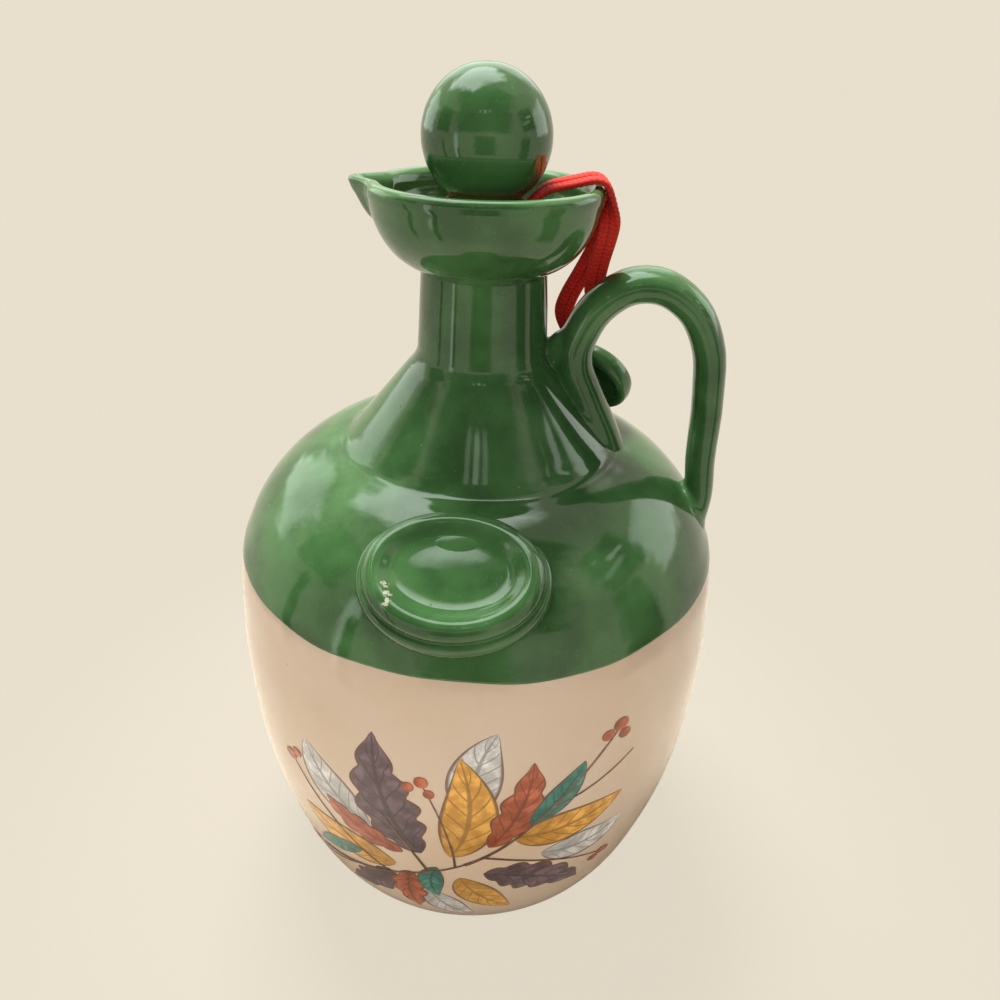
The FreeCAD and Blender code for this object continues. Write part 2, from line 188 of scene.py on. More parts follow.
class JugSizes(bpy.types.PropertyGroup):
    """Sizes of the glazed pieces that can be changed by themselves"""

    glaze_line: extent("Glaze line", "Height of the line where the green glaze ends", 93.4)
    glaze_wave: extent("Glaze wave", "How far the glaze line wanders up and down", 0.32)
    rim_height: extent("Rim height", "Height of the pouring bowl's rim", 168.4)
    rim_radius: extent("Rim radius", "Radius of the pouring bowl's rim", 22.3)
    beak_reach: extent("Beak reach", "How far the beak's tip stands from the jug's axis", 26.65)
    beak_depth: extent("Beak depth", "How far the beak runs down the bowl", 10)
    beak_half_width: extent("Beak half width", "Half the beak's width at the rim", 9)
    beak_tip_radius: extent("Beak tip radius", "Roundness of the beak's tip", 2.4)
    handle_thickness: extent("Handle thickness", "Handle's thickness at its root", 8.2)
    handle_width: extent("Handle width", "Handle's width at its root", 11.8)
    medallion_half_width: extent("Medallion half width", "Half the oval's width", 16.5)
    medallion_half_height: extent("Medallion half height", "Half the oval's height", 12.9)
    ball_radius: extent("Ball radius", "Radius of the stopper's ball", 12)
    ball_height: extent("Ball height", "Height of the ball's middle", 175.774)


class RibbonSizes(bpy.types.PropertyGroup):
    """Sizes of the braided ribbon"""

    width: extent("Width", "Width of the braid", 4.2)
    thickness: extent("Thickness", "Thickness of the braid", 1.3)
    gathered_width: extent("Gathered width", "Width of the braid where it passes the seal", 2.2)
    stitch: extent("Stitch", "Length of one stitch along the braid", 0.95)
    columns: bpy.props.IntProperty(
        name="Columns", description="Columns of stitches across the braid", default=4
    )


class JugColours(bpy.types.PropertyGroup):
    """Colours of glazes, cork, ribbon and print"""

    green_deep: colour("Deep green", "Green glaze where it lies thick", (0.027, 0.077, 0.022))
    green_bright: colour("Bright green", "Green glaze where it runs thin", (0.062, 0.158, 0.051))
    green_fleck: colour("Flecks", "Pale flecks in the green glaze", (0.16, 0.26, 0.11))
    cream: colour("Cream", "Cream glaze", (0.72, 0.555, 0.415))
    biscuit: colour("Biscuit", "Bare stoneware of foot and chips", (0.52, 0.50, 0.36))
    cork: colour("Cork", "Cork bark", (0.50, 0.31, 0.16))
    cork_pit: colour("Cork pits", "Pits in the cork", (0.12, 0.055, 0.025))
    ribbon: colour("Ribbon", "Ribbon's yarn", (0.56, 0.016, 0.008))
    # Painted shade: the ribbon's colour in the recesses between its stitches
    ribbon_painted_shade: colour("Ribbon shade", "Ribbon between its stitches", (0.30, 0.008, 0.005))
    plum: colour("Plum", "Plum leaves of the print", (0.105, 0.055, 0.07))
    amber: colour("Amber", "Amber leaves of the print", (0.66, 0.30, 0.035))
    rust: colour("Rust", "Rust leaves and berries of the print", (0.38, 0.075, 0.02))
    teal: colour("Teal", "Teal leaves of the print", (0.02, 0.16, 0.12))
    mist: colour("Mist", "Pale leaves at the back of the print", (0.56, 0.53, 0.50))
    twig: colour("Twig", "Twigs and outlines of the print", (0.14, 0.06, 0.03))


class StageSettings(bpy.types.PropertyGroup):
    """Background, lamps and camera"""

    background: colour("Background", "Floor and backdrop", (0.806, 0.738, 0.610))
    key_power: bpy.props.FloatProperty(
        name="Key power",
        description="Power of the window light at the back left",
        default=9.5,
        unit="POWER",
    )
    fill_power: bpy.props.FloatProperty(
        name="Fill power",
        description="Power of the broad light at the front",
        default=1.15,
        unit="POWER",
    )
    ambient: bpy.props.FloatProperty(
        name="Ambient", description="Strength of the even light from all round", default=0.36
    )
    lens: bpy.props.FloatProperty(
        name="Lens", description="Focal length in millimetres on a 36 mm sensor", default=27.0
    )


# Mesh helpers


def deselect():
    """Leaves edit mode and selects nothing."""
    if bpy.context.mode != "OBJECT":
        bpy.ops.object.mode_set(mode="OBJECT")
    bpy.ops.object.select_all(action="DESELECT")


def alone(piece):
    """Makes a piece the only one selected, and the active one."""
    deselect()
    piece.select_set(True)
    bpy.context.view_layer.objects.active = piece


def added(name, add, **settings):
    """Adds a primitive by its operator, as the only piece selected."""
    deselect()
    add(**settings)
    piece = bpy.context.object
    piece.name = piece.data.name = name
    return piece


@contextmanager
def edited(piece):
    """Opens a piece in edit mode with all of it selected, and leaves edit mode after."""
    alone(piece)
    bpy.ops.object.mode_set(mode="EDIT")
    bpy.ops.mesh.select_all(action="SELECT")
    yield
    bpy.ops.object.mode_set(mode="OBJECT")


def close_up(piece):
    """Merges doubled points and turns the faces outwards."""
    with edited(piece):
        bpy.ops.mesh.remove_doubles(threshold=SAME_PLACE)
        bpy.ops.mesh.normals_make_consistent(inside=False)


def finish(piece, *modifiers):
    """Adds modifiers to a piece in turn and applies each."""
    alone(piece)
    for kind, settings in modifiers:
        modifier = piece.modifiers.new(kind.title(), kind)
        for key, value in settings.items():
            setattr(modifier, key, value)
        bpy.ops.object.modifier_apply(modifier=modifier.name)


def smooth(piece, degrees=40):
    """Shades a piece smooth, apart from edges sharper than an angle."""
    alone(piece)
    bpy.ops.object.shade_smooth_by_angle(angle=math.radians(degrees))


def join(name, pieces):
    """Joins pieces into one mesh."""
    alone(pieces[0])
    for piece in pieces:
        piece.select_set(True)
    bpy.ops.object.join()
    joined = bpy.context.object
    joined.name = joined.data.name = name
    return joined


def drawn_profile(name, profile, cyclic):
    """A profile in the XZ plane as a chain of edges, drawn with a Bezier curve."""
    piece = added(name, bpy.ops.curve.primitive_bezier_curve_add)
    piece.data.resolution_u = PROFILE_STEPS
    spline = piece.data.splines[0]
    spline.use_cyclic_u = cyclic
    spline.bezier_points.add(len(profile) - len(spline.bezier_points))
    for bend, (_, _, *corner) in zip(spline.bezier_points, profile):
        bend.handle_left_type = bend.handle_right_type = "VECTOR" if corner else "AUTO"
    for bend, (radius, height, *_) in zip(spline.bezier_points, profile):
        bend.co = (radius * MM, 0, height * MM)
    bpy.ops.object.convert(target="MESH")
    return bpy.context.object


def turned(name, profile, cyclic=False, steps=SPIN_STEPS, sweep=FULL_TURN):
    """Turns a profile about Z into a closed piece."""
    piece = drawn_profile(name, profile, cyclic)
    with edited(piece):
        bpy.ops.mesh.spin(steps=steps, angle=sweep, center=(0, 0, 0), axis=UP)
    piece.data.name = name
    close_up(piece)
    return piece


def lofted(name, rings):
    """A tube extruded from ring to ring and closed at its ends. Rings have as many points each."""
    piece = added(
        name, bpy.ops.mesh.primitive_circle_add, vertices=len(rings[0]), fill_type="NGON"
    )
    for vertex, place in zip(piece.data.vertices, rings[0]):
        vertex.co = place
    with edited(piece):
        for before, ring in zip(rings, rings[1:]):
            bpy.ops.mesh.extrude_region()
            mesh = bmesh.from_edit_mesh(piece.data)
            for vertex in [v for v in mesh.verts if v.select]:
                gaps = [(old - vertex.co).length_squared for old in before]
                vertex.co = ring[gaps.index(min(gaps))]
            bmesh.update_edit_mesh(piece.data)
    close_up(piece)
    return piece


def circle(sides):
    """Cosine and sine of even steps round a circle."""
    turns = (FULL_TURN * k / sides for k in range(sides))
    return [(math.cos(a), math.sin(a)) for a in turns]


def within(share):
    """A share held between 0 and 1."""
    return min(1, max(0, share))


def dress(piece, material, body, slot, *nodes):
    """Gives a piece its finish, the body it moves with and the CAD nodes that it stands for."""
    piece.data.materials.clear()
    piece.data.materials.append(material)
    if body:
        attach(piece, body)
    if nodes:
        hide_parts(*nodes)


# Node helpers


class Value:
    """A node's output socket. Arithmetic on it adds Math nodes."""

    def __init__(self, nodes, socket):
        self.nodes = nodes
        self.socket = socket

    def math(self, operation, *operands):
        return self.nodes.add(
            "ShaderNodeMath", {"operation": operation}, dict(enumerate(operands))
        )

    def __add__(self, other):
        return self.math("ADD", self, other)

    def __sub__(self, other):
        return self.math("SUBTRACT", self, other)

    def __rsub__(self, other):
        return self.math("SUBTRACT", other, self)

    def __mul__(self, other):
        return self.math("MULTIPLY", self, other)

    def __truediv__(self, other):
        return self.math("DIVIDE", self, other)

    def __abs__(self):
        return self.math("ABSOLUTE", self)

    __radd__ = __add__
    __rmul__ = __mul__

    def fraction(self):
        return self.math("FRACT", self)

    def at_most(self, other):
        return self.math("MINIMUM", self, other)

    def at_least(self, other):
        return self.math("MAXIMUM", self, other)

    def rise(self, low, high):
        """0 below low and 1 above high, or the other way round, with a smooth step between."""
        return self.nodes.add(
            "ShaderNodeMapRange",
            {"interpolation_type": "SMOOTHSTEP"},
            {"Value": self, "From Min": low, "From Max": high},
        )

    def other(self, name):
        """Another output of the same node."""
        return Value(self.nodes, self.socket.node.outputs[name])


class Nodes:
    """A node tree with short ways to add to it."""

    def __init__(self, owner):
        owner.use_nodes = True
        self.tree = owner.node_tree

    def add(self, kind, settings=None, sockets=None, output=0):
        """Adds a node: settings first, then its sockets' values or links. Gives one output."""
        node = self.tree.nodes.new(kind)
        for key, value in (settings or {}).items():
            setattr(node, key, value)
        for key, value in (sockets or {}).items():
            self.feed(node.inputs[key], value)
        return Value(self, node.outputs[output])

    def feed(self, socket, value):
        """Links a value to a socket, or sets a plain number or colour on it."""
        if isinstance(value, Value):
            self.tree.links.new(value.socket, socket)
        elif socket.type == "RGBA":
            socket.default_value = (*tuple(value)[:3], 1)
        else:
            socket.default_value = value

    def noise(self, place, scale, detail=3.0, roughness=0.5):
        """Random clouds from 0 to 1."""
        return self.add(
            "ShaderNodeTexNoise",
            sockets={"Vector": place, "Scale": scale, "Detail": detail, "Roughness": roughness},
        )


class Finish(Nodes):
    """A material with one principled shader and patterns on Object coordinates."""

    def __init__(self, name):
        self.material = bpy.data.materials.new(name)
        super().__init__(self.material)
        self.shader = self.tree.nodes["Principled BSDF"]
        self.place = self.add("ShaderNodeTexCoord").other("Object")
        self.tones = bpy.context.scene.jug_colours

    def mix(self, factor, first, second):
        """A colour between two colours."""
        return self.add("ShaderNodeMix", {"data_type": "RGBA"}, {0: factor, 6: first, 7: second}, 2)

    def clouds(self, scale, detail=3.0, roughness=0.5):
        """Random clouds over the piece."""
        return self.noise(self.place, scale, detail, roughness)

    def specks(self, scale, share, size):
        """Round spots in some of the cells of a random pattern."""
        cells = self.add("ShaderNodeTexVoronoi", sockets={"Vector": self.place, "Scale": scale})
        pick = self.add("ShaderNodeSeparateColor", sockets={"Color": cells.other("Color")})
        return cells.rise(size, size * 0.55) * pick.rise(share, share * 0.95)

    def bump(self, height, distance, strength, under=None):
        """Relief of a height from 0 to 1, in millimetres, over another relief if there is one."""
        sockets = {"Height": height, "Distance": distance * MM, "Strength": strength}
        if under:
            sockets["Normal"] = under
        return self.add("ShaderNodeBump", sockets=sockets)

    def shade(self, sockets):
        """Feeds the shader's sockets and gives the finished material."""
        for key, value in sockets.items():
            self.feed(self.shader.inputs[key], value)
        return self.material


class Shading(Nodes):
    """An empty node tree for the stage that ends in a mix of two shaders."""

    def __init__(self, owner):
        super().__init__(owner)
        self.tree.nodes.clear()

    def show(self, output, share, first, second):
        mixed = self.add("ShaderNodeMixShader", sockets={0: share, 1: first, 2: second})
        self.feed(self.tree.nodes.new(output).inputs["Surface"], mixed)


# Finishes


def scaled(tone, factor):
    """A colour made darker, or lighter up to white."""
    return tuple(min(1, c * factor) for c in tone)


def green_glaze(name, chips=()):
    """Glossy green glaze, mottled, with flecks and pinholes. Chips are places and radii in mm."""
    glaze = Finish(name)
    tones = glaze.tones
    cloud = glaze.clouds(scale=70, detail=4)
    grain = glaze.clouds(scale=700, detail=2)
    dust = glaze.specks(scale=1300, share=0.3, size=0.2)
    flecks = glaze.specks(scale=210, share=0.16, size=0.075)
    pinholes = glaze.specks(scale=330, share=0.2, size=0.06)
    tone = glaze.mix(cloud.rise(0.3, 0.72), tones.green_deep, tones.green_bright)
    tone = glaze.mix(grain.rise(0.5, 0.8) * 0.18, tone, tones.green_bright)
    tone = glaze.mix(dust * 0.35, tone, tones.green_fleck)
    tone = glaze.mix(flecks * 0.55, tone, tones.green_fleck)
    tone = glaze.mix(pinholes * 0.7, tone, PINHOLE)
    gloss = 0.045 + 0.05 * cloud + 0.25 * pinholes + 0.12 * flecks
    relief = glaze.bump(glaze.clouds(scale=42, detail=2), distance=0.5, strength=0.32)
    relief = glaze.bump(glaze.clouds(scale=260, detail=2), 0.05, 0.3, under=relief)
    relief = glaze.bump(1 - pinholes, distance=0.12, strength=0.6, under=relief)
    for place, radius in chips:
        away = glaze.add(
            "ShaderNodeVectorMath",
            {"operation": "DISTANCE"},
            {0: glaze.place, 1: Vector(place) * MM},
            "Value",
        )
        ragged = glaze.clouds(scale=1300, detail=4, roughness=0.7) - 0.22 * away / (radius * MM)
        chip = ragged.rise(0.36, 0.4)
        tone = glaze.mix(chip * 0.65, tone, tones.biscuit)
        gloss = gloss + chip * 0.4
        relief = glaze.bump(1 - chip, distance=0.25, strength=0.8, under=relief)
    return glaze.shade(
        {"Base Color": tone, "Roughness": gloss, "Normal": relief, "IOR": GREEN_GLAZE_IOR}
    )


def cream_glaze():
    """Glossy cream glaze with clouds and iron specks, and bare stoneware on the foot ring."""
    glaze = Finish("glaze_cream")
    tones = glaze.tones
    cloud = glaze.clouds(scale=35)
    warm = tuple(c * k for c, k in zip(tones.cream, WARMER_CREAM))
    tone = glaze.mix(cloud.rise(0.35, 0.7), tones.cream, warm)
    specks = glaze.specks(scale=120, share=0.2, size=0.035)
    tone = glaze.mix(specks * 0.5, tone, IRON_SPECK)
    height = glaze.add("ShaderNodeSeparateXYZ", sockets={0: glaze.place}).other("Z")
    bare = height.rise(1.3 * MM, 0.8 * MM)
    grit = glaze.clouds(scale=1800)
    tone = glaze.mix(bare, tone, tones.biscuit)
    gloss = 0.1 + 0.06 * cloud + bare * (0.45 + 0.2 * grit)
    relief = glaze.bump(glaze.clouds(scale=50, detail=2), distance=0.4, strength=0.2)
    relief = glaze.bump(grit * bare, distance=0.15, strength=0.5, under=relief)
    return glaze.shade(
        {"Base Color": tone, "Roughness": gloss, "Normal": relief, "IOR": CREAM_GLAZE_IOR}
    )


def cork_bark():
    """Cork with lighter and darker grain and dark pits."""
    bark = Finish("cork_bark")
    tones = bark.tones
    grain = bark.clouds(scale=420, detail=6, roughness=0.65)
    ragged = bark.clouds(scale=900).rise(0.35, 0.6)
    pits = bark.specks(scale=380, share=0.35, size=0.33) * ragged
    tone = bark.mix(grain.rise(0.35, 0.7), tones.cork, scaled(tones.cork, 1.45))
    tone = bark.mix(pits, tone, tones.cork_pit)
    relief = bark.bump(grain, distance=0.15, strength=0.5)
    relief = bark.bump(1 - pits, distance=0.4, strength=0.8, under=relief)
    return bark.shade({"Base Color": tone, "Roughness": 0.78 + 0.15 * grain, "Normal": relief})


def braid_yarn():
    """Red yarn with painted shade between the stitches, a fine twist and a soft sheen."""
    yarn = Finish("braid_yarn")
    tones = yarn.tones
    # The stitches' height lays the painted shade colour into the recesses between the stitches
    depth = yarn.add("ShaderNodeAttribute", {"attribute_name": "stitch_height"}).other("Fac")
    fibre = yarn.clouds(scale=5200, detail=2)
    fade = yarn.clouds(scale=260, detail=2)
    lit = yarn.mix(fade.rise(0.35, 0.7) * 0.5, tones.ribbon, scaled(tones.ribbon, 1.25))
    return yarn.shade(
        {
            "Base Color": yarn.mix(depth.rise(0.05, 0.6), tones.ribbon_painted_shade, lit),
            "Roughness": 0.62 + 0.2 * fibre,
            "Normal": yarn.bump(fibre, distance=0.06, strength=0.6),
            "Sheen Weight": 0.04,
            "Sheen Roughness": 0.4,
        }
    )


def printed(name, tone, veins=0):
    """Printed colour under the glaze: a darker outline and midrib, side veins and stippling."""
    ink = Finish(name)
    tones = ink.tones
    chart = ink.add("ShaderNodeUVMap", {"uv_map": "UVMap"})
    along = ink.add("ShaderNodeSeparateXYZ", sockets={0: chart})
    across = abs(along.other("Y") - 0.5) * 2
    stipple = ink.specks(scale=1900, share=0.6, size=0.34)
    wash = ink.clouds(scale=320)
    dark = scaled(tone, 0.42)
    pale = tuple(min(1, c * 1.6 + 0.04) for c in tone)
    shade = ink.mix(wash.rise(0.38, 0.66), tone, pale)
    shade = ink.mix(along.rise(0.75, 0.0) * 0.55, shade, dark)
    shade = ink.mix(stipple * across.rise(0.9, 0.2) * 0.55, shade, dark)
    if veins:
        slant = (along * veins - across * 1.5).fraction()
        vein = abs(slant - 0.5).rise(0.1, 0.03) * across.rise(0.95, 0.75)
        midrib = across.rise(0.13, 0.05)
        shade = ink.mix(vein.at_least(midrib) * 0.75, shade, dark)
        shade = ink.mix(across.rise(0.82, 0.93) * 0.85, shade, tones.twig)
    return ink.shade(
        {"Base Color": shade, "Roughness": 0.12 + 0.08 * wash, "IOR": CREAM_GLAZE_IOR}
    )


# Pieces


class JUG_OT_cream_body(bpy.types.Operator):
    """Turn the cream lower body with its foot ring and inner wall"""

    bl_idname = "jug.cream_body"
    bl_label = "Cream body"

    def execute(self, context):
        body = turned("cream_body", CREAM_BODY_PROFILE)
        smooth(body)
        dress(body, cream_glaze(), "jug", "cream_glaze", "body_shell")
        return {"FINISHED"}


class JUG_OT_green_skin(bpy.types.Operator):
    """Turn the green shoulder, cone and neck, and let the lip of the glaze wander"""

    bl_idname = "jug.green_skin"
    bl_label = "Green shoulder and neck"

    def execute(self, context):
        sizes = context.scene.jug_sizes
        skin = turned("green_shoulder_and_neck", GREEN_SKIN_PROFILE, cyclic=True)
        reach = 4 * MM
        wall_lean = 0.27
        for vertex in skin.data.vertices:
            x, y, z = vertex.co
            fade = 1 - within((z - sizes.glaze_line) / reach)
            turn = math.atan2(y, x)
            wave = sum(depth * math.sin(lobes * turn + lag) for lobes, depth, lag in GLAZE_WAVES)
            rise = wave * fade * fade * sizes.glaze_wave
            outward = 1 - wall_lean * rise / math.hypot(x, y)
            vertex.co = (x * outward, y * outward, z + rise)
        smooth(skin, 50)
        dress(skin, green_glaze("glaze_green"), "jug", "green_glaze", "shoulder_shell", "neck")
        return {"FINISHED"}


def beak_radius(turn, height):
    """How far the beak's side lies from the axis, at an angle from its middle and at a height."""
    sizes = bpy.context.scene.jug_sizes
    share = within((height - sizes.rim_height) / sizes.beak_depth + 1) ** 0.7
    foot_reach = 19.4 * MM
    foot_half_width = 4.2 * MM
    root_depth = 4.1 * MM
    reach = foot_reach + (sizes.beak_reach - foot_reach) * share
    half_width = foot_half_width + (sizes.beak_half_width - foot_half_width) * share
    tip = sizes.beak_tip_radius
    middle = reach - tip
    root = reach - (sizes.beak_reach - sizes.rim_radius) * share - root_depth
    away = Vector((root - middle, half_width))
    aim = math.atan2(away.y, away.x) - math.acos(min(1, tip / away.length))
    if turn < math.atan2(tip * math.sin(aim), middle + tip * math.cos(aim)):
        half_chord = math.sqrt(max(0, tip**2 - (middle * math.sin(turn)) ** 2))
        return middle * math.cos(turn) + half_chord
    return (middle * math.cos(aim) + tip) / math.cos(min(0, turn - aim))


def bowl_outside(height):
    """Radius of the bowl's outer side at a height, between the points of its profile."""
    side = [(h * MM, r * MM) for r, h, *_ in BOWL_PROFILE[1:8]]
    for (low, narrow), (high, wide) in zip(side, side[1:]):
        if height <= high:
            return narrow + (wide - narrow) * (height - low) / (high - low)
    return side[-1][1]


class JUG_OT_pouring_bowl(bpy.types.Operator):
    """Turn the pouring bowl and pull its beak out of the rim"""

    bl_idname = "jug.pouring_bowl"
    bl_label = "Pouring bowl"

    def execute(self, context):
        sizes = context.scene.jug_sizes
        pinch = 0.5 * MM
        half_wall = 1.4 * MM
        inner_foot = 161 * MM
        onset = 3 * MM
        bowl = turned("glazed_bowl", BOWL_PROFILE, cyclic=True, steps=240)
        for vertex in bowl.data.vertices:
            x, y, z = vertex.co
            radius = vertex.co.xy.length
            excess = beak_radius(abs(math.atan2(y, -x)), z) - bowl_outside(z)
            pull = (excess + math.hypot(excess, pinch)) / 2
            inside = radius < bowl_outside(z) - half_wall
            foot = inner_foot if inside else sizes.rim_height - sizes.beak_depth
            stretch = 1 + pull * within((z - foot) / onset) / radius
            vertex.co = (x * stretch, y * stretch, z)
        smooth(bowl, 50)
        dress(bowl, bpy.data.materials["glaze_green"], "jug", "green_glaze", "pouring_bowl")
        return {"FINISHED"}


def smooth_path(points):
    """Places along a smooth line through points of the XZ plane."""
    line = drawn_profile("path", points, cyclic=False)
    places = [v.co.copy() for v in line.data.vertices]
    bpy.data.objects.remove(line)
    return places


def directions(places):
    """The direction of a line at each of its places."""
    ends = [places[0], *places, places[-1]]
    return [(after - before).normalized() for before, after in zip(ends, ends[2:])]


def moved_in(profile, distance):
    """A rising profile moved inwards, square to its own run, with sharp corners."""
    ends = [profile[0], *profile, profile[-1]]
    moved = []
    for before, (radius, height), after in zip(ends, profile, ends[2:]):
        run = (Vector(after) - Vector(before)).normalized()
        moved.append((radius - run.y * distance, height + run.x * distance, CORNER))
    return moved


class JUG_OT_handle(bpy.types.Operator):
    """Extrude the handle ring by ring and web its ends into the neck and the shoulder"""

    bl_idname = "jug.handle"
    bl_label = "Handle"

    def execute(self, context):
        sizes = context.scene.jug_sizes
        width_lost, thickness_lost = 0.17, 0.27
        places = smooth_path(HANDLE_PATH)[::2]
        rings = []
        for i, (place, direction) in enumerate(zip(places, directions(places))):
            share = i / (len(places) - 1)
            width = sizes.handle_width * (1 - width_lost * share) / 2
            thickness = sizes.handle_thickness * (1 - thickness_lost * share) / 2
            outward = Vector((direction.z, 0, -direction.x))
            ring = []
            for c, s in circle(sides=28):
                ring.append(place + Vector((0, width * c, 0)) + outward * (thickness * s))
            rings.append(ring)
        parts = [lofted("glazed_handle", rings), self.core()]
        for middle, radii, lean in HANDLE_WEBS:
            web = added("web", bpy.ops.mesh.primitive_uv_sphere_add, segments=32, ring_count=16)
            web.data.transform(Matrix.Diagonal((*(r * MM for r in radii), 1)))
            web.data.transform(Matrix.Rotation(math.radians(lean), 4, "Y"))
            web.data.transform(Matrix.Translation(Vector(middle) * MM))
            parts.append(web)
        handle = join("glazed_handle", parts)
        finish(
            handle,
            ("REMESH", {"mode": "VOXEL", "voxel_size": 0.45 * MM}),
            ("SMOOTH", {"factor": 0.5, "iterations": 22}),
        )
        smooth(handle, 60)
        dress(handle, bpy.data.materials["glaze_green"], "jug", "green_glaze", "handle")
        return {"FINISHED"}

    def core(self):
        """A slice of wall just under the green skin, into which the handle's ends melt."""
        skin = [point[:2] for point in GREEN_SKIN_PROFILE[3:19]]
        outer_depth, inner_depth = 0.5, 3.5
        sweep = math.radians(64)
        profile = moved_in(skin, outer_depth) + moved_in(skin, inner_depth)[::-1]
        core = turned("core", profile, cyclic=True, steps=24, sweep=sweep)
        core.data.transform(Matrix.Rotation(sweep / 2, 4, "Z"))
        with edited(core):
            bpy.ops.mesh.select_all(action="DESELECT")
            bpy.ops.mesh.select_non_manifold()
            bpy.ops.mesh.edge_face_add()
        return core


class JUG_OT_medallion(bpy.types.Operator):
    """Extrude the oval medallion ring by ring, with its rolled rim, dish and flared ledge"""

    bl_idname = "jug.medallion"
    bl_label = "Medallion"

    def execute(self, context):
        sizes = context.scene.jug_sizes
        rings = []
        for inward, height in MEDALLION_RINGS:
            wide = sizes.medallion_half_width - inward * MM
            tall = sizes.medallion_half_height - inward * MM
            middle = (MEDALLION_CENTRE + MEDALLION_FACING * height) * MM
            ring = []
            for c, s in circle(sides=96):
                rise = max(0, tall / sizes.medallion_half_height * s)
                drop = MEDALLION_FACING * (MEDALLION_TOP_DROP * MM * rise**2)
                place = middle + Vector((wide * c, 0, 0)) + MEDALLION_UPWARD * (tall * s)
                ring.append(place - drop)
            rings.append(ring)
        medallion = lofted("glazed_medallion", rings)
        finish(medallion, ("SUBSURF", {"levels": 1, "render_levels": 1}))
        smooth(medallion, 60)
        glaze = green_glaze("glaze_green_chipped", MEDALLION_CHIPS)
        dress(medallion, glaze, "jug", "green_glaze", "front_medallion")
        return {"FINISHED"}


class JUG_OT_stopper(bpy.types.Operator):
    """Turn the stopper's ball with its stem, and the cork below it"""

    bl_idname = "jug.stopper"
    bl_label = "Stopper and cork"

    def execute(self, context):
        sizes = context.scene.jug_sizes
        radius, middle = sizes.ball_radius / MM, sizes.ball_height / MM
        ball = tuple(
            (radius * math.cos(math.radians(a)), middle + radius * math.sin(math.radians(a)))
            for a in BALL_LATITUDES
        )
        profile = STOPPER_PROFILE_FOOT + ball + ((0, middle + radius),)
        stopper = turned("glazed_ball", profile, steps=128)
        smooth(stopper, 50)
        glaze = bpy.data.materials["glaze_green"]
        dress(stopper, glaze, "stopper", "green_glaze", "stopper_ball")
        cork = turned("cork_bung", CORK_PROFILE, steps=96)
        smooth(cork)
        dress(cork, cork_bark(), "stopper", "cork", "stopper_cork")
        return {"FINISHED"}


def smooth_line(name, route):
    """The places on a smooth line that has a ribbon's route as its control points."""
    curve = bpy.data.curves.new(name, "CURVE")
    curve.dimensions = "3D"
    curve.resolution_u = 44
    spline = curve.splines.new("NURBS")
    spline.points.add(len(route) - 1)
    for point, place in zip(spline.points, route):
        point.co = (*(Vector(place) * MM), 1)
    spline.order_u = 3
    spline.use_endpoint_u = True
    holder = bpy.data.objects.new(name, curve)
    line = bpy.data.meshes.new_from_object(holder)
    places = [v.co.copy() for v in line.vertices]
    bpy.data.objects.remove(holder)
    bpy.data.curves.remove(curve)
    bpy.data.meshes.remove(line)
    return places


def runs_along(places):
    """The length run along a line up to each of its places."""
    return list(accumulate(((b - a).length for a, b in zip(places, places[1:])), initial=0.0))


def stitch_height(across, run):
    """Height of the braid's face, from 0 between stitches to 1, at a place across and along it."""
    ribbon = bpy.context.scene.ribbon_sizes
    place = (across + 1) / 2 * ribbon.columns
    column = min(ribbon.columns - 1, int(place))
    share = place - column
    slant = share if column % 2 else 1 - share
    bead = abs(math.sin(math.pi * (run / ribbon.stitch + 0.55 * slant)))
    return bead**0.7 * (1 - abs(2 * share - 1) ** 4) ** 0.5


def eased(share):
    """A smooth step from 0 to 1."""
    share = within(share)
    return share * share * (3 - 2 * share)


def braid(name, places, widths, thickness, closed=False):
    """A flat stitched braid along a line. Widths point across it and are as long as it is wide."""
    steps = 28
    relief = 0.16 * MM
    shares = [-math.cos(math.pi * k / steps) for k in range(steps + 1)]
    section = [(share, 1) for share in shares] + [(share, -1) for share in shares[-2:0:-1]]
    vertices, heights = [], []
    lines = zip(places, directions(places), widths, runs_along(places))
    for place, direction, across, run in lines:
        half_width = across.length / 2
        across = (across - direction * across.dot(direction)).normalized()
        proud = direction.cross(across)
        for share, side in section:
            crown = (1 - abs(share) ** 5) ** 0.5
            height = stitch_height(share, run)
            lift = (thickness / 2 - relief) * crown + relief * height * min(1, 2 * crown)
            vertices.append(place + across * (share * half_width) + proud * (side * lift))
            heights.append(height)
    count = len(section)
    faces = []
    for start in range(0, len(vertices) - count, count):
        for k in range(count):
            here, beside = start + k, start + (k + 1) % count
            faces.append((here, beside, beside + count, here + count))
    if not closed:
        faces += [tuple(range(count)), tuple(range(len(vertices) - count, len(vertices)))]
    mesh = bpy.data.meshes.new(name)
    mesh.from_pydata(vertices, [], faces)
    mesh.attributes.new("stitch_height", "FLOAT", "POINT").data.foreach_set("value", heights)
    piece = bpy.data.objects.new(name, mesh)
    bpy.context.scene.collection.objects.link(piece)
    close_up(piece)
    smooth(piece, 70)
    return piece


